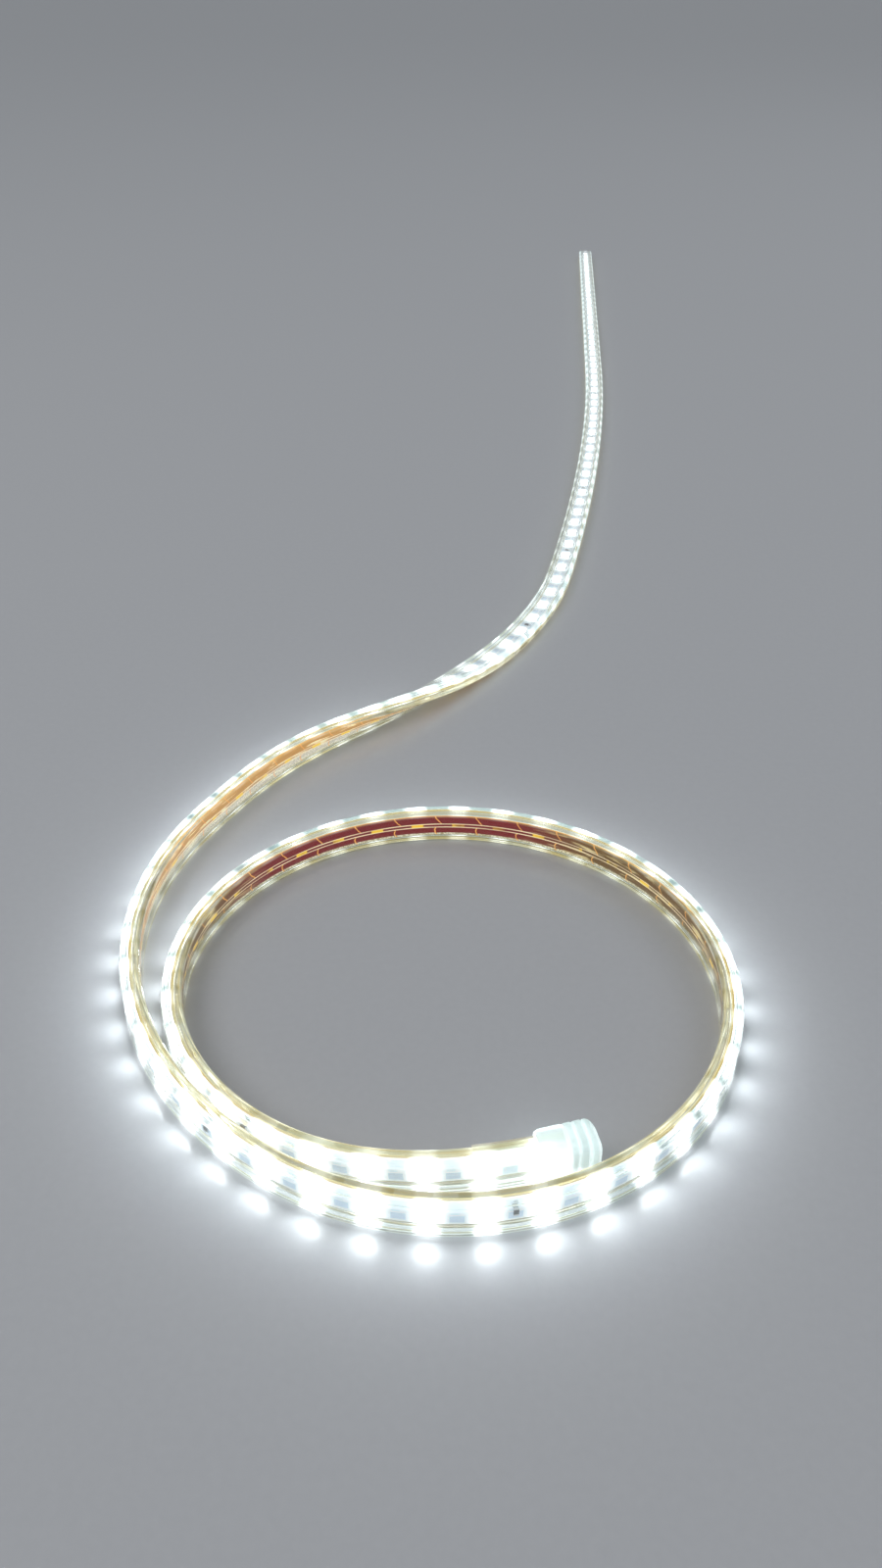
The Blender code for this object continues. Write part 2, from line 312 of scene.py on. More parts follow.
def swept_solid(name, distances, outline, holes, finishes):
    """The outline and its holes carried along the distances, closed at both ends."""
    loops = [outline, *[hole[::-1] for hole in holes]]
    section = np.vstack(loops)
    size = len(section)
    points = carried(distances, section[:, 0], section[:, 1])
    places = np.column_stack([np.repeat(distances, size), np.tile(section, (len(distances), 1))])
    starts = np.cumsum([0, *map(len, loops)])
    walls = [loop_quads(len(distances), size, start, len(loop)) for start, loop in zip(starts, loops)]
    near_end = end_triangles(loops)
    far_end = near_end[:, ::-1] + (len(distances) - 1) * size
    faces = np.vstack(walls).tolist() + near_end.tolist() + far_end.tolist()
    piece = add_piece(name, points, faces, places, finishes)
    print(name, "has", len(faces), "faces")
    return piece


# %% [markdown]
# ## Shader maths as Python
#
# A finish is easier to read as an expression than as a list of nodes. Value wraps one socket, and
# each operator on it adds a Math node. Finish.node makes any other node from its settings and
# its inputs. Colours go through the Mix node, because a Math node would turn them grey.

# %% The Value class
class Value:
    """A number or colour that a socket gives, with operators that add Math nodes."""

    def __init__(self, finish, socket):
        self.finish = finish
        self.socket = socket

    def maths(self, operation, *others):
        """A Math node on this value and the others."""
        return self.finish.node("ShaderNodeMath", [self, *others], operation=operation)

    def __add__(self, other):
        return self.maths("ADD", other)

    def __sub__(self, other):
        return self.maths("SUBTRACT", other)

    def __mul__(self, other):
        return self.maths("MULTIPLY", other)

    def __truediv__(self, other):
        return self.maths("DIVIDE", other)

    def __rsub__(self, other):
        return self.finish.node("ShaderNodeMath", [other, self], operation="SUBTRACT")

    def __abs__(self):
        return self.maths("ABSOLUTE")

    __radd__ = __add__
    __rmul__ = __mul__

    def rise(self, low, high):
        """0 below low, 1 above high, and a smooth step between them."""
        inputs = {"Value": self, "From Min": low, "From Max": high}
        return self.finish.node("ShaderNodeMapRange", inputs, interpolation_type="SMOOTHSTEP")

    def window(self, half, soft):
        """1 within half of zero, falling to 0 over the soft distance beyond."""
        return 1 - abs(self).rise(half, half + soft)

    def bell(self, width):
        """exp(-(value / width)^2)."""
        scaled = self / width
        return (scaled * scaled * -1).maths("EXPONENT")

    def between(self, low, high=1.0):
        """Low where this is 0, high where it is 1, and a straight line between them."""
        return low + (high - low) * self


# %% The Finish class
# The Mix node has one socket of each name for numbers, vectors and colours, told apart by number
FACTOR_SOCKET = 0
FIRST_COLOUR_SOCKET = 6
SECOND_COLOUR_SOCKET = 7
MIXED_COLOUR_SOCKET = 2


class Finish:
    """A material whose Principled shader gets constants as numbers and patterns as links."""

    def __init__(self, name, **constants):
        self.material = bpy.data.materials.new(name)
        self.material.use_nodes = True
        self.tree = self.material.node_tree
        self.shader = self.tree.nodes["Principled BSDF"]
        for socket, value in constants.items():
            self.feed(self.shader.inputs[socket.replace("_", " ")], value)

    def node(self, kind, inputs=(), output=0, **settings):
        """Adds a node: first its settings, then the values or links of its inputs."""
        made = self.tree.nodes.new(kind)
        for setting, value in settings.items():
            setattr(made, setting, value)
        pairs = inputs.items() if isinstance(inputs, dict) else enumerate(inputs)
        for key, value in pairs:
            self.feed(made.inputs[key], value)
        return Value(self, made.outputs[output])

    def feed(self, socket, value):
        """Links a Value to a socket, or sets the socket's own number or colour."""
        if isinstance(value, Value):
            self.tree.links.new(value.socket, socket)
        elif socket.type == "RGBA":
            socket.default_value = (*value, 1)
        else:
            socket.default_value = value

    def set(self, socket, value):
        """Feeds one of the Principled shader's sockets."""
        self.feed(self.shader.inputs[socket], value)

    def strip_vector(self):
        """The place on the strip that each point of a piece keeps, as one vector."""
        return self.node("ShaderNodeAttribute", attribute_name="strip_place", output="Vector")

    def strip_place(self):
        """The point's distance, across and through on the strip, in metres."""
        vector = self.strip_vector()
        return [self.node("ShaderNodeSeparateXYZ", [vector], output=axis) for axis in range(3)]

    def mix(self, factor, first, second):
        """The first colour where the factor is 0 and the second where it is 1."""
        inputs = {FACTOR_SOCKET: factor, FIRST_COLOUR_SOCKET: first, SECOND_COLOUR_SOCKET: second}
        return self.node("ShaderNodeMix", inputs, output=MIXED_COLOUR_SOCKET, data_type="RGBA")

    def noise(self, scale, detail=2.0, stretch=(1, 1, 1), on_strip=False):
        """Noise on Object coordinates, or on the strip's own place, stretched by a Mapping node."""
        if on_strip:
            coordinates = self.strip_vector()
        else:
            coordinates = self.node("ShaderNodeTexCoord", output="Object")
        placed = self.node("ShaderNodeMapping", {"Vector": coordinates, "Scale": stretch})
        inputs = {"Vector": placed, "Scale": scale, "Detail": detail}
        return self.node("ShaderNodeTexNoise", inputs, output="Fac")

    def bump(self, height, distance):
        """Relief of the given depth in metres, from a height between 0 and 1."""
        self.set("Normal", self.node("ShaderNodeBump", {"Height": height, "Distance": distance}))


# %% [markdown]
# ## Places on the strip
#
# The light and the copper repeat with the LEDs, so most patterns are measured from the nearest
# LED, or from the middle between two. At the coil's front two turns lie side by side and light
# each other, so the finishes shine more over those two stretches.

# %% Distances that the finishes use
TURNS_SIDE_BY_SIDE = (0.045, 0.655)
CROWDED_HALF = 0.055
CROWDED_SOFT = 0.060


def from_led(distance):
    """Signed distance along the strip from the nearest LED's middle, in metres."""
    return ((distance / LED_PITCH).maths("FRACT") - 0.5) * LED_PITCH


def from_gap(distance):
    """Signed distance along the strip from the middle between two LEDs, in metres."""
    return ((distance / LED_PITCH + 0.5).maths("FRACT") - 0.5) * LED_PITCH


def among_turns(distance):
    """1 over the two stretches that lie side by side, fading to 0 beyond them."""
    inner, outer = TURNS_SIDE_BY_SIDE
    near_inner = (distance - inner).window(CROWDED_HALF, CROWDED_SOFT)
    return near_inner + (distance - outer).window(CROWDED_HALF, CROWDED_SOFT)


print("the turns light each other around", TURNS_SIDE_BY_SIDE, "m along the strip")

# %% [markdown]
# ## The clear sleeve
#
# Soft PVC is a little less clear than glass, and olive green where light travels far in it. A
# refracting body is used, with its cavity and channels cut out, because the fine lines along such
# a strip are its wires and board seen through the rounded corners. Each LED also lights the tube
# beside it up to white, in a block on the two narrow edges and a haze on the front. Light that
# scatters inside a clear body is costly to trace, so a painted glow on the surface stands for it:
# white there, faint green on the edges before the board, and dull gold on the olive edges behind
# it. It is weaker on the gold under the collar, and on the edges where the strip lies on its back.

# %% The sleeve's finish
COOL_WHITE = (0.88, 0.96, 1.0)
UNLIT = (0.0, 0.0, 0.0)
EDGE_GREEN_GLOW = (0.13, 0.18, 0.175)
GOLD_GLOW = ((0.13, 0.14, 0.10), (0.17, 0.14, 0.06))
OLIVE_PVC = ((0.88, 0.87, 0.72), (0.80, 0.73, 0.48))
CLEAREST_PVC = (0.95, 0.97, 0.94)

GOLD_END = BOARD_TOP + 0.0005
WHITE_START = BOARD_TOP + 0.0015
FRONT_START = SLEEVE_THICKNESS / 2 - 0.0008
FRONT_FULL = SLEEVE_THICKNESS / 2 - 0.0002
LIT_EDGE_HALF = 0.0018
LIT_EDGE_SOFT = 0.0030
FRONT_GLOW_SPREAD = 0.0032
COLLAR_EDGE_SOFT = 0.0003

FRONT_GLOW_AT_LED = 0.35
FRONT_GLOW_AMONG_TURNS = 0.05
FRONT_GLOW_EVERYWHERE = 0.02
EDGE_AMONG_TURNS = 0.20
EDGE_ON_ITS_BACK = 0.35
GOLD_AT_LED = 0.12
GOLD_UNDER_COLLAR = 0.35
DRAWN_LINE_DEPTH = 0.00002


def clear_pvc_finish():
    """Clear PVC that glows at its narrow edges and its front beside each LED."""
    finish = Finish("clear_pvc", IOR=1.52, Transmission_Weight=1.0, Emission_Strength=1.0)
    distance, across, through = finish.strip_place()
    offset = from_led(distance)
    at_edge = abs(across).rise(CAVITY_WIDTH / 2, WIRE_PLACE)
    before_board = through.rise(GOLD_END, WHITE_START)
    behind_board = 1 - before_board
    beside_led = offset.window(LIT_EDGE_HALF, LIT_EDGE_SOFT)
    crowded = among_turns(distance)
    # Painted glow on the front face: a haze of light around each LED, more where the turns lie side by
    # side, and a faint one everywhere
    spot = offset.bell(FRONT_GLOW_SPREAD) * across.bell(FRONT_GLOW_SPREAD)
    front_glow = spot * FRONT_GLOW_AT_LED + crowded * FRONT_GLOW_AMONG_TURNS + FRONT_GLOW_EVERYWHERE
    front_glow = front_glow * through.rise(FRONT_START, FRONT_FULL)
    past_collar = distance.rise(COLLAR_LENGTH - COLLAR_EDGE_SOFT, COLLAR_LENGTH + COLLAR_EDGE_SOFT)
    # Painted dull gold glow on the edges behind the board, where the PVC is also tinted olive
    gold_glow_and_tint = at_edge * behind_board * past_collar.between(GOLD_UNDER_COLLAR)
    lit_edge = at_edge * before_board
    standing = 1 - distance.rise(ROLL_START, ROLL_END)
    at_led = beside_led * standing.between(EDGE_ON_ITS_BACK)
    light = lit_edge * (at_led + crowded * EDGE_AMONG_TURNS) + gold_glow_and_tint * beside_led * GOLD_AT_LED + front_glow

    mottle = finish.noise(900, detail=3, on_strip=True, stretch=(0.05, 1, 1)).rise(0.36, 0.64)
    # Painted glow: faint green on the narrow edges in front of the board, mottled dull gold behind it
    glow = finish.mix(lit_edge, UNLIT, EDGE_GREEN_GLOW)
    glow = finish.mix(gold_glow_and_tint, glow, finish.mix(mottle, *GOLD_GLOW))
    finish.set("Emission Color", finish.mix(light, glow, COOL_WHITE))
    finish.set("Base Color", finish.mix(gold_glow_and_tint, CLEAREST_PVC, finish.mix(mottle, *OLIVE_PVC)))
    finish.set("Roughness", finish.noise(60, detail=4).between(0.01, 0.06))
    drawn_lines = finish.noise(900, on_strip=True, stretch=(0.02, 1, 1))
    finish.bump(drawn_lines, DRAWN_LINE_DEPTH)
    return finish.material


clear_pvc = clear_pvc_finish()
print("finish:", clear_pvc.name, "with", len(clear_pvc.node_tree.nodes), "nodes")

# %% The sleeve
SLEEVE_STEP = 0.004
CHANNEL_SIDES = 12
CAVITY_CORNER_STEPS = 2

sleeve = swept_solid(
    "clear_sleeve",
    np.linspace(0, STRIP_LENGTH, round(STRIP_LENGTH / SLEEVE_STEP) + 1),
    grown_section(0.0, SLEEVE_CORNER),
    [
        rounded_outline(CAVITY_WIDTH, CAVITY_THICKNESS, CAVITY_CORNER, CAVITY_CORNER_STEPS),
        circle_outline(WIRE_PLACE, CHANNEL_RADIUS, CHANNEL_SIDES),
        circle_outline(-WIRE_PLACE, CHANNEL_RADIUS, CHANNEL_SIDES),
    ],
    [clear_pvc],
)
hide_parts("pvc_sleeve")

# %% [markdown]
# ## The bus wires
#
# A stranded copper wire runs in each edge and feeds the boards. Its strands twist, so its section
# is a ring of seven lobes that turns along the way. Beside an LED the side of the wire that faces
# the front is lost in the glare, and between two LEDs the wire shows as a thin brown line. The
# lower wire looks greener than the upper one.

# %% The wires' finish
UPPER_COPPER = ((0.56, 0.38, 0.14), (0.32, 0.20, 0.08))
LOWER_COPPER = ((0.40, 0.38, 0.27), (0.22, 0.21, 0.15))
COPPER_GLOW = (0.08, 0.065, 0.03)
BETWEEN_WIRES = 0.001
GLARE_HALF = 0.0024
GLARE_SOFT = 0.0026
GLARE_START = -0.0001
GLARE_FULL = 0.0002


def copper_finish():
    """Tarnished copper, washed out on its front side beside each LED."""
    finish = Finish("copper_strands", Metallic=1.0, Roughness=0.32, Emission_Strength=1.0)
    distance, across, through = finish.strip_place()
    tarnish = finish.noise(220, detail=3)
    upper = finish.mix(tarnish, *UPPER_COPPER)
    lower = finish.mix(tarnish, *LOWER_COPPER)
    is_upper = across.rise(-BETWEEN_WIRES, BETWEEN_WIRES)
    finish.set("Base Color", finish.mix(is_upper, lower, upper))
    glare = from_led(distance).window(GLARE_HALF, GLARE_SOFT) * through.rise(GLARE_START, GLARE_FULL)
    finish.set("Emission Color", finish.mix(glare, COPPER_GLOW, COOL_WHITE))
    return finish.material


copper = copper_finish()
print("finish:", copper.name)

# %% The wires
STRANDS = 7
STRAND_LAY = 0.016
STRAND_RELIEF = 0.22
SIDES_PER_STRAND = 4
WIRE_STEP = 0.0022


def stranded_wire(name, side, finish):
    """Radius = core + relief |cos(strands / 2 angle)|, turned by a full turn each lay."""
    stations = np.linspace(0, STRIP_LENGTH, round(STRIP_LENGTH / WIRE_STEP))
    count = STRANDS * SIDES_PER_STRAND
    angle = np.linspace(0, 2 * math.pi, count, endpoint=False)
    lobes = np.abs(np.cos(STRANDS / 2 * angle))
    radius = WIRE_DIAMETER / 2 * (1 - STRAND_RELIEF + STRAND_RELIEF * lobes)
    turned = angle + 2 * math.pi * stations[:, None] / STRAND_LAY
    across = side * WIRE_PLACE + radius * np.cos(turned)
    through = radius * np.sin(turned)
    points = carried(stations, across, through)
    places = np.column_stack([np.repeat(stations, count), across.ravel(), through.ravel()])
    faces = loop_quads(len(stations), count, 0, count).tolist()
    near_end = list(range(count))
    far_end = [(len(stations) - 1) * count + corner for corner in near_end[::-1]]
    return add_piece(name, points, [*faces, near_end, far_end], places, [finish])


for side, letter in ((1, "a"), (-1, "b")):
    wire = stranded_wire(f"stranded_wire_{letter}", side, copper)
    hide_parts(f"bus_wire_{letter}")
    print(wire.name, "has", STRANDS, "strands and", len(wire.data.polygons), "faces")

# %% [markdown]
# ## The flexible boards
#
# Each metre is one ribbon of film with copper on it. Its front is white solder mask, painted with
# a glow almost as bright as the LEDs, and over its copper midway with pale blue painted shade.
# Its back shows two bright rails, a yellow glow through the film behind some of the LEDs, and one
# thin gap in the copper on each side of the rails, where light comes through. The film is painted
# dark red at the coil's back, where little light comes through it, and a lit tan in the rest of the
# coil. In the tail it is lit through, amber in its upper half and white in its lower half.

# %% The front of the boards
MASK_WHITE = (0.90, 0.92, 0.95)
SHADED_MASK_OVER_COPPER = (0.52, 0.62, 0.76)
MASK_GLOW = ((0.22, 0.25, 0.28), (0.11, 0.15, 0.20))
SHINE_HALF = 0.0014
SHINE_SOFT = 0.0034
CROWDED_SHINE_HALF = 0.0026
CROWDED_SHINE_SOFT = 0.0036

# Copper under the mask, painted blue-grey as mask in shade: each patch's half sizes and soft edges,
# along the strip and across it
LARGE_PATCH = ((0.0020, 0.0014), (0.0004, 0.0003))
LARGE_PATCH_ACROSS = -0.0017
LARGE_PATCH_SHARE = 0.8
SMALL_PATCH = ((0.0012, 0.0007), (0.0003, 0.0003))
SMALL_PATCH_ALONG = 0.0006
SMALL_PATCH_ACROSS = 0.0012
SMALL_PATCH_SHARE = 0.5
TRACE_PLACES = (0.0029, 0.0019)
TRACE_HALF = 0.00012
TRACE_SOFT = 0.00010
TRACE_REACH = 0.0040
TRACE_FADE = 0.0008
TRACE_SHARE = 0.5


def soft_rectangle(along, across, halves, edges):
    """A rectangle with soft edges: a window along the strip times a window across it."""
    return along.window(halves[0], edges[0]) * across.window(halves[1], edges[1])


def white_mask_finish():
    """White mask with a painted glow beside the LEDs, and traces and copper patches under it painted
    blue-grey as mask in shade.
    """
    finish = Finish("white_solder_mask", Roughness=0.42, Emission_Strength=1.0)
    distance, across, _ = finish.strip_place()
    gap = from_gap(distance)
    offset = from_led(distance)
    crowded = among_turns(distance)
    shine = offset.window(SHINE_HALF, SHINE_SOFT)
    shine = shine + crowded * offset.window(CROWDED_SHINE_HALF, CROWDED_SHINE_SOFT)
    large = soft_rectangle(gap, across - LARGE_PATCH_ACROSS, *LARGE_PATCH)
    small = soft_rectangle(gap - SMALL_PATCH_ALONG, across - SMALL_PATCH_ACROSS, *SMALL_PATCH)
    traces = sum((across - place).window(TRACE_HALF, TRACE_SOFT) for place in TRACE_PLACES)
    traces = traces * gap.window(TRACE_REACH, TRACE_FADE)
    copper_and_shade = large * LARGE_PATCH_SHARE + small * SMALL_PATCH_SHARE + traces * TRACE_SHARE
    # Painted shade: the copper patches and traces show pale blue-grey, as the mask looks in shade
    # midway between LEDs
    finish.set("Base Color", finish.mix(copper_and_shade, MASK_WHITE, SHADED_MASK_OVER_COPPER))
    finish.set("Emission Color", finish.mix(shine, finish.mix(copper_and_shade, *MASK_GLOW), COOL_WHITE))
    return finish.material


white_mask = white_mask_finish()
print("finish:", white_mask.name)

# %% The thin gaps in the copper on the back
RAILS_END = 0.0008
RAILS_END_SOFT = 0.0001
GAP_HALF = 0.00018
GAP_SOFT = 0.00016
GAP_WAVER = 0.0012
UPPER_GAP_ALONG = 0.0002
UPPER_GAP_ACROSS = 0.0024
UPPER_GAP_SLOPE = 0.8
LOWER_GAP_ALONG = -0.0012
LOWER_GAP_ACROSS = -0.0022
LOWER_GAP_BEND = 260


def film_gaps(finish, gap, across):
    """A slanted line above the rails and a parabola below them, both wavering with a noise."""
    waver = (finish.noise(500, on_strip=True) - 0.5) * GAP_WAVER
    slant = gap - UPPER_GAP_ALONG + (across - UPPER_GAP_ACROSS) * UPPER_GAP_SLOPE
    upper = (slant + waver).window(GAP_HALF, GAP_SOFT)
    below = across - LOWER_GAP_ACROSS
    parabola = gap - LOWER_GAP_ALONG - below * below * LOWER_GAP_BEND
    lower = (parabola + waver).window(GAP_HALF, GAP_SOFT)
    above_rails = across.rise(RAILS_END, RAILS_END + RAILS_END_SOFT)
    below_rails = 1 - across.rise(-RAILS_END - RAILS_END_SOFT, -RAILS_END)
    return upper * above_rails + lower * below_rails


# %% The back of the boards
# Each pair of colours is for where the film's streaks or its painted glints are dark and where they
# are bright
LIT_TAN = ((0.20, 0.11, 0.035), (0.46, 0.38, 0.20))
SHADED_CRIMSON = ((0.10, 0.006, 0.008), (0.15, 0.010, 0.012))
TAN_GLOW = ((0.10, 0.05, 0.010), (0.66, 0.54, 0.28))
AMBER_GLOW = ((0.66, 0.33, 0.09), (1.0, 0.82, 0.52))
WHITE_GLOW = ((0.55, 0.54, 0.46), (1.0, 0.98, 0.90))
BORDER_GLOW = ((0.30, 0.27, 0.14), (0.90, 0.88, 0.70))
CRIMSON_GLOW = (0.150, 0.002, 0.004)
GAP_GLOW = (0.86, 0.40, 0.09)
RAIL_GLOW = (0.80, 0.66, 0.44)
SPOT_GLOW = (0.95, 0.62, 0.04)
RAIL_COLOUR = (0.62, 0.48, 0.36)

SHADED_RED_MIDDLE = 0.295
SHADED_RED_HALF = 0.050
SHADED_RED_SOFT = 0.040
TAIL_START = 0.70
TAIL_SOFT = 0.03
LOWER_HALF_END = -0.0010
UPPER_HALF_START = 0.0004
RAIL_PLACE = 0.0007
RAIL_HALF = 0.00016
RAIL_SOFT = 0.00012
SPOT = ((0.0022, 0.00055), (0.0005, 0.0002))
TOP_GLOW_HALF = 0.00022
TOP_GLOW_SOFT = 0.00010
TOP_GLOW_SHARE = 0.7
BORDER_START = 0.0006
BORDER_END = 0.0009
BRIGHT_STREAKS = (0.52, 0.66)


def film_glow(finish, distance, across, shaded_red, streaks):
    """Tan or crimson in the coil, amber above white in the tail, and a border along the edge."""
    bright_streaks = streaks.rise(*BRIGHT_STREAKS)
    # Painted glints of light, which speckle the white glow in the tail and the glow along the lower
    # border
    painted_glints = finish.noise(2600, detail=1, on_strip=True).rise(0.48, 0.56)
    in_coil = finish.mix(shaded_red, finish.mix(bright_streaks, *TAN_GLOW), CRIMSON_GLOW)
    upper_half = across.rise(LOWER_HALF_END, UPPER_HALF_START)
    amber = finish.mix(bright_streaks, *AMBER_GLOW)
    in_tail = finish.mix(upper_half, finish.mix(painted_glints, *WHITE_GLOW), amber)
    tail = distance.rise(TAIL_START - TAIL_SOFT, TAIL_START + TAIL_SOFT)
    glow = finish.mix(tail * streaks.between(0.6), in_coil, in_tail)
    border = 1 - (across + BOARD_WIDTH / 2).rise(BORDER_START, BORDER_END)
    return finish.mix(border, glow, finish.mix(painted_glints, *BORDER_GLOW))


def amber_film_finish():
    """Film painted dark red or lit tan, with two rails, glowing spots behind the LEDs, a glowing top
    edge and thin lit gaps in its copper.
    """
    finish = Finish("amber_film", Roughness=0.30, Emission_Strength=1.0)
    distance, across, _ = finish.strip_place()
    streaks = finish.noise(800, detail=3, on_strip=True, stretch=(0.10, 1, 1))
    # Painted shade: the film is crimson over the coil's back, where little light comes through it, and
    # a lit tan elsewhere
    shaded_red = (distance - SHADED_RED_MIDDLE).window(SHADED_RED_HALF, SHADED_RED_SOFT)
    rails = (abs(across) - RAIL_PLACE).window(RAIL_HALF, RAIL_SOFT)
    lit_tan = finish.mix(streaks.rise(*BRIGHT_STREAKS), *LIT_TAN)
    film = finish.mix(shaded_red, lit_tan, finish.mix(streaks, *SHADED_CRIMSON))
    finish.set("Base Color", finish.mix(rails, film, RAIL_COLOUR))

    gaps = film_gaps(finish, from_gap(distance), across)
    # Painted glow: a thin line of light along the board's top edge, in the colour of the lit gaps
    glowing_top_edge = (across - BOARD_WIDTH / 2).window(TOP_GLOW_HALF, TOP_GLOW_SOFT)
    patchy = finish.noise(45, on_strip=True, stretch=(1, 0.2, 0.2)).rise(0.42, 0.52)
    spot = soft_rectangle(from_led(distance), across, *SPOT)
    glow = film_glow(finish, distance, across, shaded_red, streaks)
    glow = finish.mix(gaps + glowing_top_edge * TOP_GLOW_SHARE, glow, GAP_GLOW)
    glow = finish.mix(rails * streaks.rise(0.3, 0.6).between(0.45), glow, RAIL_GLOW)
    finish.set("Emission Color", finish.mix(spot * patchy, glow, SPOT_GLOW))
    return finish.material


amber_film = amber_film_finish()
print("finish:", amber_film.name)

# %% The boards
BOARD_STATIONS = 301
MASK, FILM = 0, 1


def flexible_board(number):
    """A rectangle carried along the line, with mask on its front and edges and film on its back."""
    start = number * BOARD_LENGTH
    stations = np.linspace(start + number * BOARD_GAP, start + BOARD_LENGTH, BOARD_STATIONS)
    edge = BOARD_WIDTH / 2
    right = [(edge, BOARD_UNDERSIDE), (edge, BOARD_TOP)]
    left = [(-edge, BOARD_TOP), (-edge, BOARD_UNDERSIDE)]
    finishes = [white_mask, amber_film]
    board = swept_solid(f"flexible_board_{number + 1}", stations, np.array(right + left), [], finishes)
    # Between two stations there are four quads, and the fourth of them is the back
    side = np.full(len(board.data.polygons), MASK, np.int32)
    side[3 : 4 * (BOARD_STATIONS - 1) : 4] = FILM
    board.data.polygons.foreach_set("material_index", side)
    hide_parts(f"led_board_{number + 1}")


for number in range(BOARD_COUNT):
    flexible_board(number)

# %% [markdown]
# ## The LEDs
#
# Each LED is a square white package with a round window of phosphor, and three leads on each of
# two sides. One package is worked out as a few dozen faces, and all of a board's packages are
# placed by one array sum. The window and the package both shine, because a camera that is set for
# the room sees the whole package burnt out to white.

# %% The LEDs' finishes
BODY_SHINE = 3.0
BODY_SPREAD = 0.0030
WINDOW_SHINE = 16.0
WINDOW_SPREAD = 0.0016


def led_body_finish():
    """White plastic that is lit through by its own LED."""
    finish = Finish("led_body", Roughness=0.35, Emission_Strength=BODY_SHINE)
    distance, across, _ = finish.strip_place()
    spread = from_led(distance).bell(BODY_SPREAD) * across.bell(BODY_SPREAD)
    finish.set("Base Color", (0.94, 0.95, 0.96))
    finish.set("Emission Color", finish.mix(spread, (0.40, 0.44, 0.46), COOL_WHITE))
    return finish.material


def led_window_finish():
    """Yellow phosphor under clear resin, brightest in its middle."""
    finish = Finish("led_window", Roughness=0.2, Emission_Strength=WINDOW_SHINE)
    distance, across, _ = finish.strip_place()
    centre = from_led(distance).bell(WINDOW_SPREAD) * across.bell(WINDOW_SPREAD)
    finish.set("Base Color", (0.95, 0.90, 0.55))
    finish.set("Emission Color", finish.mix(centre, COOL_WHITE, (1.0, 1.0, 1.0)))
    return finish.material


def tin_finish():
    """Bright tin, duller in spots."""
    finish = Finish("bright_tin", Metallic=1.0, Roughness=0.3)
    finish.set("Base Color", finish.mix(finish.noise(1500), (0.80, 0.81, 0.83), (0.62, 0.63, 0.66)))
    return finish.material


led_body = led_body_finish()
led_window = led_window_finish()
bright_tin = tin_finish()
print("finishes:", led_body.name, led_window.name, bright_tin.name)

# %% Small shapes that repeat
BOX_CORNERS = np.array([(x, y, z) for z in (0, 1) for y in (0, 1) for x in (0, 1)], float)
BOX_FACES = np.array(
    [(0, 2, 3, 1), (4, 5, 7, 6), (0, 1, 5, 4), (2, 6, 7, 3), (0, 4, 6, 2), (1, 3, 7, 5)]
)


def boxes(lows, size, finish):
    """Equal boxes at several low corners: points, a list of faces and a finish number for each."""
    points = (np.array(lows)[:, None] + BOX_CORNERS * size).reshape(-1, 3)
    faces = np.arange(len(lows))[:, None, None] * len(BOX_CORNERS) + BOX_FACES
    return points, faces.reshape(-1, 4).tolist(), [finish] * (len(lows) * len(BOX_FACES))


def joined(*shapes):
    """Several shapes as one, with the corner numbers of each moved past the points before it."""
    all_faces = []
    all_finishes = []
    start = 0
    for points, faces, finishes in shapes:
        all_faces += [[start + corner for corner in face] for face in faces]
        all_finishes += finishes
        start += len(points)
    return np.vstack([points for points, _, _ in shapes]), all_faces, all_finishes


def repeated(name, shape, centres, base, finishes):
    """Copies of a small shape along the strip: centre + x forward + y width + (base + z) thickness.

    Forward, width and thickness are left-handed, so each face is reversed to look outwards.
    """
    points, faces, finish_of_face = shape
    forward, width, thickness = axes_at(centres)
    middle = line_at(centres) + SHIFT
    along, across, up = (points[:, axis, None] for axis in range(3))
    placed = middle[:, None] + along * forward[:, None] + across * width[:, None]
    placed = placed + (up + base) * thickness[:, None]
    flat = np.broadcast_to(points, (len(centres), *points.shape)) + [0, 0, base]
    places = flat + centres[:, None, None] * [1, 0, 0]
    outward = [face[::-1] for face in faces]
    starts = range(0, len(centres) * len(points), len(points))
    all_faces = [[start + corner for corner in face] for start in starts for face in outward]
    piece = add_piece(name, placed, all_faces, places, finishes, finish_of_face * len(centres))
    print(name, "has", len(centres), "copies of", len(faces), "faces")


# %% LED packages
LED_SIZE = 0.0050
LED_HEIGHT = 0.0016
LED_CORNER = 0.0004
LED_CORNER_STEPS = 1
LED_BEVEL = 0.0002
HEAD_SHARE = 0.95
WINDOW_RADIUS = 0.0018
WINDOW_DEPTH = 0.00015
WINDOW_FLOOR_SHARE = 0.9
LEAD_SPACING = 0.0016
LEAD_SIZE = (0.0008, 0.0004, 0.0005)
BODY, WINDOW, TIN = 0, 1, 2


def led_body_shape():
    """Rings of eight points: foot, shoulder, head, window's rim and window's floor."""
    square = rounded_outline(LED_SIZE, LED_SIZE, LED_CORNER, LED_CORNER_STEPS)
    round_window = circle_outline(0, WINDOW_RADIUS, len(square))
    levels = (
        (square, 0.0),
        (square, LED_HEIGHT - LED_BEVEL),
        (square * HEAD_SHARE, LED_HEIGHT),
        (round_window, LED_HEIGHT),
        (round_window * WINDOW_FLOOR_SHARE, LED_HEIGHT - WINDOW_DEPTH),
    )
    count = len(square)
    points = np.vstack([np.column_stack([ring, np.full(count, height)]) for ring, height in levels])
    walls = loop_quads(len(levels), count, 0, count)[:, ::-1].tolist()
    foot = list(range(count))[::-1]
    window = [(len(levels) - 1) * count + corner for corner in range(count)]
    return points, [*walls, foot, window], [BODY] * (len(walls) + 1) + [WINDOW]


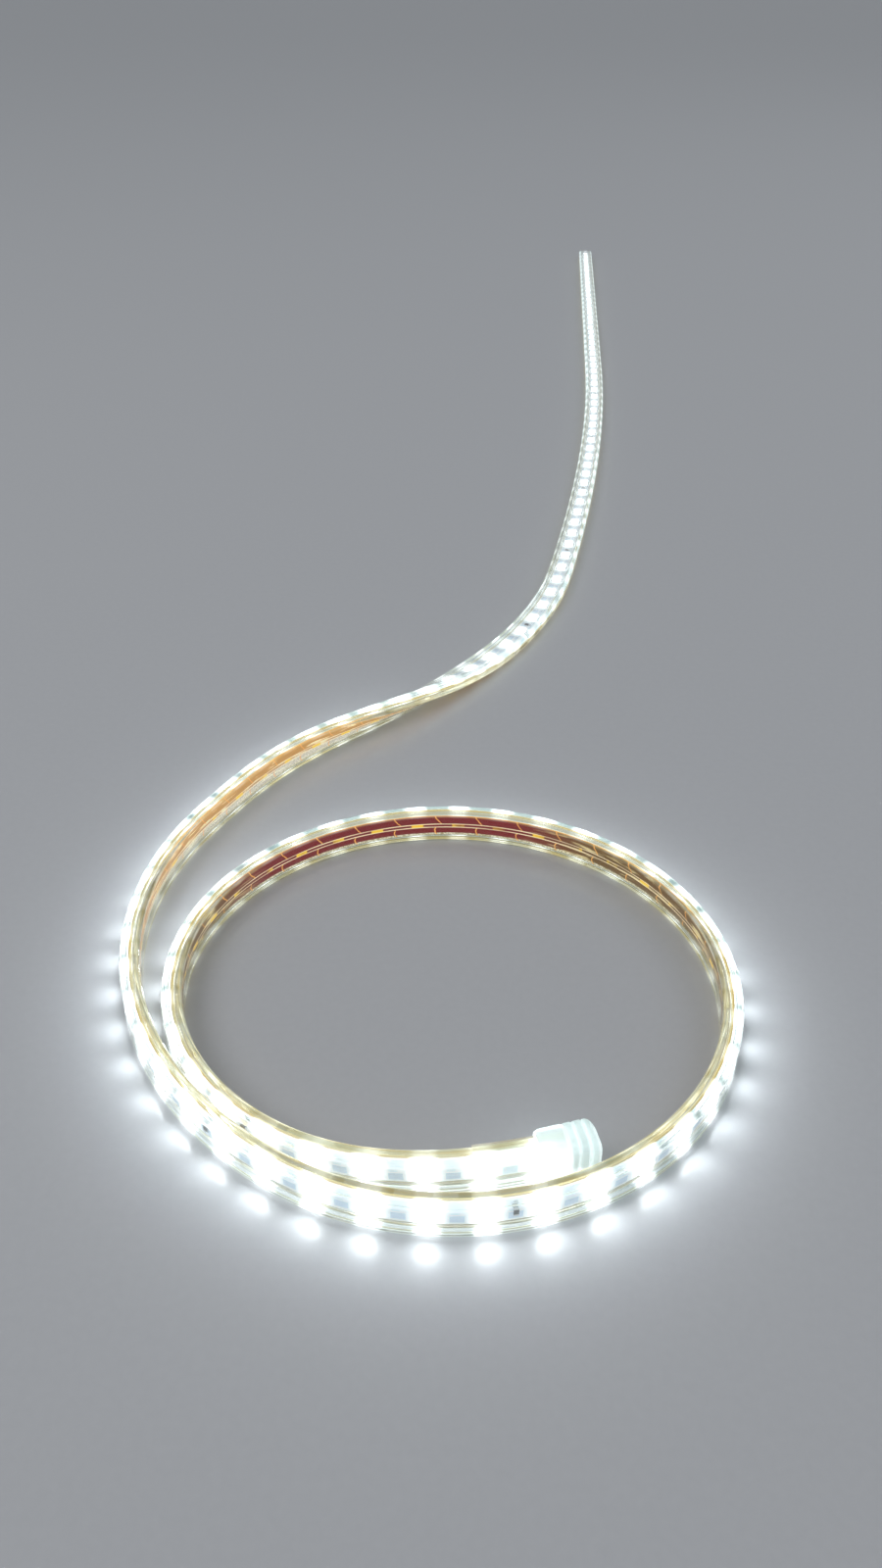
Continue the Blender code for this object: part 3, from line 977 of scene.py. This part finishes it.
def led_package():
    """The body with three leads on each of two sides."""
    along = [lead * LEAD_SPACING - LEAD_SIZE[0] / 2 for lead in (-1, 0, 1)]
    sides = (LED_SIZE / 2, -LED_SIZE / 2 - LEAD_SIZE[1])
    leads = boxes([(start, side, 0.0) for side in sides for start in along], LEAD_SIZE, TIN)
    return joined(led_body_shape(), leads)


led_finishes = [led_body, led_window, bright_tin]
for number in range(BOARD_COUNT):
    led_centres = number * BOARD_LENGTH + (np.arange(LEDS_PER_BOARD) + 0.5) * LED_PITCH
    repeated(f"leds_{number + 1}", led_package(), led_centres, BOARD_TOP, led_finishes)

# %% [markdown]
# ## Chip resistors and solder
#
# A black chip with tinned ends lies across the board after every sixth LED. Every lead and every
# chip end is held by a small wedge of solder on its pad.

# %% Chip resistors
CHIPS_EVERY = 6
CHIP_LENGTH = 0.0022
CHIP_END = 0.0005
CHIP_WIDTH = 0.0016
CHIP_HEIGHT = 0.00055
CHIP_END_PROUD = 0.00005
GLAZE, END_TIN = 0, 1


def black_chip_finish():
    """Black glaze with a faint grain."""
    finish = Finish("black_chip", Roughness=0.35)
    finish.set("Base Color", finish.mix(finish.noise(2500), (0.02, 0.02, 0.022), (0.05, 0.05, 0.055)))
    return finish.material


def chip_resistor():
    """A thin box that reaches into a tinned box on each end, which stands proud all round."""
    body_width = CHIP_WIDTH - 2 * CHIP_END_PROUD
    body_length = CHIP_LENGTH + 2 * CHIP_END_PROUD
    body_low = (-body_width / 2, -body_length / 2, 0.0)
    body = boxes([body_low], (body_width, body_length, CHIP_HEIGHT), GLAZE)
    end_places = (CHIP_LENGTH / 2, -CHIP_LENGTH / 2 - CHIP_END)
    end_lows = [(-CHIP_WIDTH / 2, place, 0.0) for place in end_places]
    ends = boxes(end_lows, (CHIP_WIDTH, CHIP_END, CHIP_HEIGHT + CHIP_END_PROUD), END_TIN)
    return joined(body, ends)


chip_centres = np.arange(CHIPS_EVERY, BOARD_COUNT * LEDS_PER_BOARD, CHIPS_EVERY) * LED_PITCH
chip_centres = chip_centres[np.abs(chip_centres - BOARD_LENGTH) > LED_PITCH]
repeated("chip_resistors", chip_resistor(), chip_centres, BOARD_TOP, [black_chip_finish(), bright_tin])

# %% Solder joints
JOINT_WIDTH = 0.0011
JOINT_REACH = 0.0007
JOINT_HEIGHT = 0.00035
JOINT_TOP_SHARE = 0.25
SOLDER = 0


def solder_joint(along, side, inner):
    """A wedge whose top leans on the lead: a box with its outer upper edge drawn in."""
    low = (along - JOINT_WIDTH / 2, 0.0, 0.0)
    points, faces, finishes = boxes([low], (JOINT_WIDTH, JOINT_REACH, JOINT_HEIGHT), SOLDER)
    outer_top = (points[:, 1] > 0) & (points[:, 2] > 0)
    points[outer_top, 1] *= JOINT_TOP_SHARE
    points[:, 1] += inner
    points[:, 1] *= side
    if side < 0:
        faces = [face[::-1] for face in faces]
    return points, faces, finishes


led_joints = joined(
    *[
        solder_joint(lead * LEAD_SPACING, side, LED_SIZE / 2 + LEAD_SIZE[1])
        for side in (-1, 1)
        for lead in (-1, 0, 1)
    ]
)
all_leds = (np.arange(BOARD_COUNT * LEDS_PER_BOARD) + 0.5) * LED_PITCH
repeated("led_solder", led_joints, all_leds, BOARD_TOP, [bright_tin])
chip_joints = joined(*[solder_joint(0.0, side, CHIP_LENGTH / 2 + CHIP_END) for side in (-1, 1)])
repeated("chip_solder", chip_joints, chip_centres, BOARD_TOP, [bright_tin])

# %% [markdown]
# ## The collar
#
# A short clear collar seals the sleeve's end. It is the same clear PVC as the sleeve, so it takes
# the same finish, and shows mostly as a small step in the sleeve's outline.

# %% The collar
COLLAR_INNER = 0.0003
COLLAR_OUTER = 0.00075
COLLAR_STATIONS = 12

collar = swept_solid(
    "clear_collar",
    np.linspace(0, COLLAR_LENGTH, COLLAR_STATIONS),
    grown_section(COLLAR_OUTER, SLEEVE_CORNER + COLLAR_OUTER),
    [grown_section(COLLAR_INNER, SLEEVE_CORNER + COLLAR_INNER)],
    [clear_pvc],
)
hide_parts("sealing_collar")

# %% [markdown]
# ## The cap
#
# A moulded cap is pushed over the collar. It is one surface: its rings run from the pocket's
# floor out over the lip, along the outside with three grooves, and over a low dome. Its PVC is
# milky, so the last LEDs fill the half towards the strip with white, and shine in the grooves.

# %% The cap's rings
CAP_GRIP = 0.0087
CAP_NOSE = 0.0103
CAP_LENGTH = CAP_GRIP + CAP_NOSE
POCKET_MARGIN = 0.00105
POCKET_CLEARANCE = 0.0003
CAP_LIP_WALL = 0.0009
CAP_LIP_CHAMFER = 0.0004
CAP_LIP_LENGTH = 0.0012
CAP_FLARE = 0.0007
CAP_CORNER = 0.0032
CAP_DOME_LENGTH = 0.0040
CAP_DOME_WIDTH = 0.0078
CAP_DOME_THICKNESS = 0.0048
RING_PLACES = (0.0084, 0.0113, 0.0143)
RING_WIDTH = 0.0008
RING_SPREAD = RING_WIDTH / 2.4
RING_DEPTH = 0.0003
SIDE_ROWS = 70
DOME_ROWS = 12


def cap_rows():
    """Rows of (distance past the lip, margin over the sleeve, share of the dome), from lip to end.

    The side's margin is a straight flare less a bell curve for each groove. Over the dome the
    distance follows the sine of an angle, and the share that is drawn in follows 1 - cosine.
    """
    dome_start = CAP_LENGTH - CAP_DOME_LENGTH
    side = np.linspace(CAP_LIP_LENGTH, dome_start, SIDE_ROWS)
    flare = CAP_FLARE * (side - CAP_LIP_LENGTH) / (dome_start - CAP_LIP_LENGTH)
    groove = sum(np.exp(-(((side - place) / RING_SPREAD) ** 2)) for place in RING_PLACES)
    margin = POCKET_MARGIN + CAP_LIP_WALL + flare - RING_DEPTH * groove
    angle = np.linspace(0, math.pi / 2, DOME_ROWS + 1)[1:]
    along = dome_start + CAP_DOME_LENGTH * np.sin(angle)
    dome = np.column_stack([along, np.full(DOME_ROWS, CAP_MARGIN), 1 - np.cos(angle)])
    lip = [(0.0, POCKET_MARGIN + CAP_LIP_CHAMFER, 0.0)]
    return np.vstack([lip, np.column_stack([side, margin, np.zeros(SIDE_ROWS)]), dome])


def cap_outline(margin, dome_share):
    """The outline at a margin, drawn in by a share of the dome, with its corners in proportion."""
    width = SLEEVE_WIDTH + 2 * (margin - dome_share * CAP_DOME_WIDTH)
    thickness = SLEEVE_THICKNESS + 2 * (margin - dome_share * CAP_DOME_THICKNESS)
    corner = CAP_CORNER * thickness / (SLEEVE_THICKNESS + 2 * CAP_MARGIN)
    return rounded_outline(width, thickness, corner, CORNER_STEPS)


print("the cap has", len(cap_rows()), "rings")

# %% The cap's finish
CLOUDS = ((0.71, 0.78, 0.76), (0.82, 0.87, 0.86))
CLOUD_DEPTH = 0.00002
MILKY_GLOW = (0.075, 0.105, 0.100)
GLOW_START = -0.0010
GLOW_FULL = 0.0015
GLOW_TOP = (0.0046, 0.0076)
GLOW_ABOVE_TOP = 0.15
LOWER_PART = (-0.0004, 0.0012)
LOW_GLOW = 0.30
LOW_GLOW_FULL = -0.0040
GROOVE_GLOW = (0.20, 0.65)
GROOVE_GLOW_SPREAD = 0.00050
END_RIM = CAP_DOME_LENGTH * 0.30 - CAP_NOSE
END_RIM_SPREAD = 0.0009
END_RIM_GLOW = 0.30


def milky_pvc_finish():
    """Milky PVC, lit from inside up to the first groove, with light in the grooves' lower half."""
    finish = Finish("milky_pvc", IOR=1.45, Transmission_Weight=0.5, Emission_Strength=1.0)
    distance, across, _ = finish.strip_place()
    cloud = finish.noise(260, detail=3)
    finish.set("Base Color", finish.mix(cloud, *CLOUDS))
    finish.set("Roughness", cloud.between(0.26, 0.40))
    finish.bump(cloud, CLOUD_DEPTH)
    lower_part = 1 - across.rise(*LOWER_PART)
    below_top = across.rise(*GLOW_TOP).between(1.0, GLOW_ABOVE_TOP)
    inside = distance.rise(GLOW_START, GLOW_FULL) * below_top
    low_glow = lower_part * distance.rise(-CAP_NOSE, LOW_GLOW_FULL) * LOW_GLOW
    grooves = sum((distance - (CAP_GRIP - place)).bell(GROOVE_GLOW_SPREAD) for place in RING_PLACES)
    end_rim = (distance - END_RIM).bell(END_RIM_SPREAD) * END_RIM_GLOW
    light = inside + low_glow + grooves * lower_part.between(*GROOVE_GLOW) + end_rim
    finish.set("Emission Color", finish.mix(light, MILKY_GLOW, COOL_WHITE))
    return finish.material


milky_pvc = milky_pvc_finish()
print("finish:", milky_pvc.name)

# %% The cap
def end_cap():
    """Rings of rounded rectangles square to the strip's first stretch, closed at floor and end."""
    rows = cap_rows()
    pocket = grown_section(POCKET_MARGIN, SLEEVE_CORNER + POCKET_MARGIN)
    outlines = np.array([pocket, pocket, *[cap_outline(margin, share) for _, margin, share in rows]])
    past_lip = np.concatenate([[CAP_GRIP + POCKET_CLEARANCE, 0.0], rows[:, 0]])
    distance = CAP_GRIP - past_lip
    forward, width, thickness = axes_at(np.zeros(1))
    start = line_at(np.zeros(1)) + SHIFT
    middles = start + distance[:, None, None] * forward
    points = middles + outlines[..., :1] * width + outlines[..., 1:] * thickness
    rings, count = outlines.shape[:2]
    along = np.broadcast_to(distance[:, None, None], (rings, count, 1))
    places = np.concatenate([along, outlines], axis=-1)
    faces = loop_quads(rings, count, 0, count)[:, ::-1].tolist()
    floor_face = list(range(count))[::-1]
    end_face = [(rings - 1) * count + corner for corner in range(count)]
    return add_piece("moulded_cap", points, [*faces, floor_face, end_face], places, [milky_pvc])


cap = end_cap()
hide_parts("end_cap")
print("cap:", len(cap.data.polygons), "faces")

# %% [markdown]
# ## The strip's middle line
#
# The strip is a flexible tube that lies free. Its line is the middle of the section, along its
# real length.

CORD_POINTS = 401

line = line_at(np.linspace(0, STRIP_LENGTH, CORD_POINTS)) + SHIFT

# %% [markdown]
# ## The floor
#
# The floor is plain and pale. It has a gloss, so that each LED of the coil draws a soft pool of
# light in it, as it does on any polished surface.

# %% Floor
FLOOR_SIZE = 40.0
FLOOR_GREY = ((0.54, 0.55, 0.57), (0.58, 0.59, 0.61))


def floor_finish():
    """Pale grey with a fine grain, under a thin gloss."""
    finish = Finish("pale_floor", Coat_Weight=0.5, Coat_Roughness=0.16)
    grain = finish.noise(350, detail=4)
    finish.set("Base Color", finish.mix(grain, *FLOOR_GREY))
    finish.set("Roughness", grain.between(0.40, 0.50))
    return finish.material


def floor():
    """One large square."""
    half = FLOOR_SIZE / 2
    mesh = bpy.data.meshes.new("floor")
    corners = [(-half, -half, 0), (half, -half, 0), (half, half, 0), (-half, half, 0)]
    mesh.from_pydata(corners, [], [(0, 1, 2, 3)])
    mesh.materials.append(floor_finish())
    made = bpy.data.objects.new("floor", mesh)
    bpy.context.scene.collection.objects.link(made)


floor()
print("floor:", FLOOR_SIZE, "m square")

# %% [markdown]
# ## The lights
#
# The studio light is soft, and low enough that the strip's own light still shows. Its two lights
# are kept out of every gloss, so that no bright discs lie on the floor. The sleeve would keep the
# light of the LED windows in, so each LED also gets a small lamp just outside the sleeve. Those
# lamps light the floor and show in its gloss, and the camera doesn't see them.

# %% Lights
LAMP_POWER = 0.0015
LAMP_SIZE = 0.006
LAMP_CLEARANCE = 0.0006

# Each studio light's name, place, direction, size in metres, power in watts and colour
STUDIO_LIGHTS = (
    ("soft_key", (-1.6, -1.2, 2.2), (1.5, 1.3, -2.2), 1.8, 20.0, (1.0, 0.98, 0.96)),
    ("soft_fill", (1.9, 0.6, 1.8), (-1.8, -0.5, -1.8), 1.6, 9.0, (0.94, 0.97, 1.0)),
)


def area_light(name, place, direction, size, power, colour, mirrored):
    """A round area light at a place, shining along a direction, that gloss shows or not."""
    data = bpy.data.lights.new(name, "AREA")
    data.shape = "DISK"
    data.size = size
    data.energy = power
    data.color = colour
    light = bpy.data.objects.new(name, data)
    light.rotation_mode = "QUATERNION"
    light.location = place
    light.rotation_quaternion = Vector(direction).to_track_quat("-Z", "Y")
    light.visible_glossy = mirrored
    bpy.context.scene.collection.objects.link(light)
    return light


def strip_lamps():
    """One small lamp for each LED, just outside the sleeve's front."""
    _, _, thickness = axes_at(all_leds)
    places = line_at(all_leds) + SHIFT + thickness * (SLEEVE_THICKNESS / 2 + LAMP_CLEARANCE)
    for number, (place, direction) in enumerate(zip(places, thickness)):
        name = f"led_lamp_{number + 1}"
        lamp = area_light(name, place, direction, LAMP_SIZE, LAMP_POWER, COOL_WHITE, mirrored=True)
        lamp.visible_camera = False
        lamp.visible_transmission = False


strip_lamps()
for studio_light in STUDIO_LIGHTS:
    area_light(*studio_light, mirrored=False)
print(len(all_leds), "lamps of", LAMP_POWER, "W and", len(STUDIO_LIGHTS), "studio lights")

# %% The room's own light
WORLD_COLOUR = (0.84, 0.88, 0.93)
WORLD_STRENGTH = 0.36

world = bpy.data.worlds.new("studio")
world.use_nodes = True
background = world.node_tree.nodes["Background"]
background.inputs["Color"].default_value = (*WORLD_COLOUR, 1)
background.inputs["Strength"].default_value = WORLD_STRENGTH
bpy.context.scene.world = world
print("world strength", WORLD_STRENGTH)

# %% [markdown]
# ## The camera
#
# The photograph was taken from about 310 mm above the surface, looking down by 33.7 degrees. The
# spacing of the LEDs in it gave the camera's place and its 30 mm lens. A camera that looks at
# lamps shows a soft bloom around them, which the compositor's glare gives, and the plain colour
# transform lets the LEDs burn out to white.

# %% Camera
CAMERA_HEIGHT = 0.3098
CAMERA_FROM_COIL = (-0.0032, -0.3324)
CAMERA_PITCH_DOWN = math.radians(33.68)
CAMERA_ROLL = math.radians(0.44)
CAMERA_LENS = 29.97
CAMERA_NEAREST = 0.01

camera_data = bpy.data.cameras.new("camera")
camera_data.lens = CAMERA_LENS
camera_data.clip_start = CAMERA_NEAREST
camera = bpy.data.objects.new("camera", camera_data)
camera.location = (SHIFT[0] + CAMERA_FROM_COIL[0], SHIFT[1] + CAMERA_FROM_COIL[1], CAMERA_HEIGHT)
turned_down = Matrix.Rotation(math.pi / 2 - CAMERA_PITCH_DOWN, 3, "X")
camera.rotation_euler = (turned_down @ Matrix.Rotation(CAMERA_ROLL, 3, "Z")).to_euler()
bpy.context.scene.collection.objects.link(camera)
bpy.context.scene.camera = camera
print("camera at", [round(place, 3) for place in camera.location])

# %% Bloom
BLOOM_THRESHOLD = 1.2
BLOOM_STRENGTH = 0.12
BLOOM_SIZE = 0.35


def bloom():
    """Spreads what is brighter than the threshold into a soft halo."""
    scene = bpy.context.scene
    scene.use_nodes = True
    tree = scene.node_tree
    tree.nodes.clear()
    layers = tree.nodes.new("CompositorNodeRLayers")
    glare = tree.nodes.new("CompositorNodeGlare")
    glare.glare_type = "BLOOM"
    glare.inputs["Threshold"].default_value = BLOOM_THRESHOLD
    glare.inputs["Strength"].default_value = BLOOM_STRENGTH
    glare.inputs["Size"].default_value = BLOOM_SIZE
    picture = tree.nodes.new("CompositorNodeComposite")
    tree.links.new(layers.outputs["Image"], glare.inputs["Image"])
    tree.links.new(glare.outputs["Image"], picture.inputs["Image"])


bloom()
bpy.context.scene.view_settings.view_transform = "Standard"
print("bloom above", BLOOM_THRESHOLD)
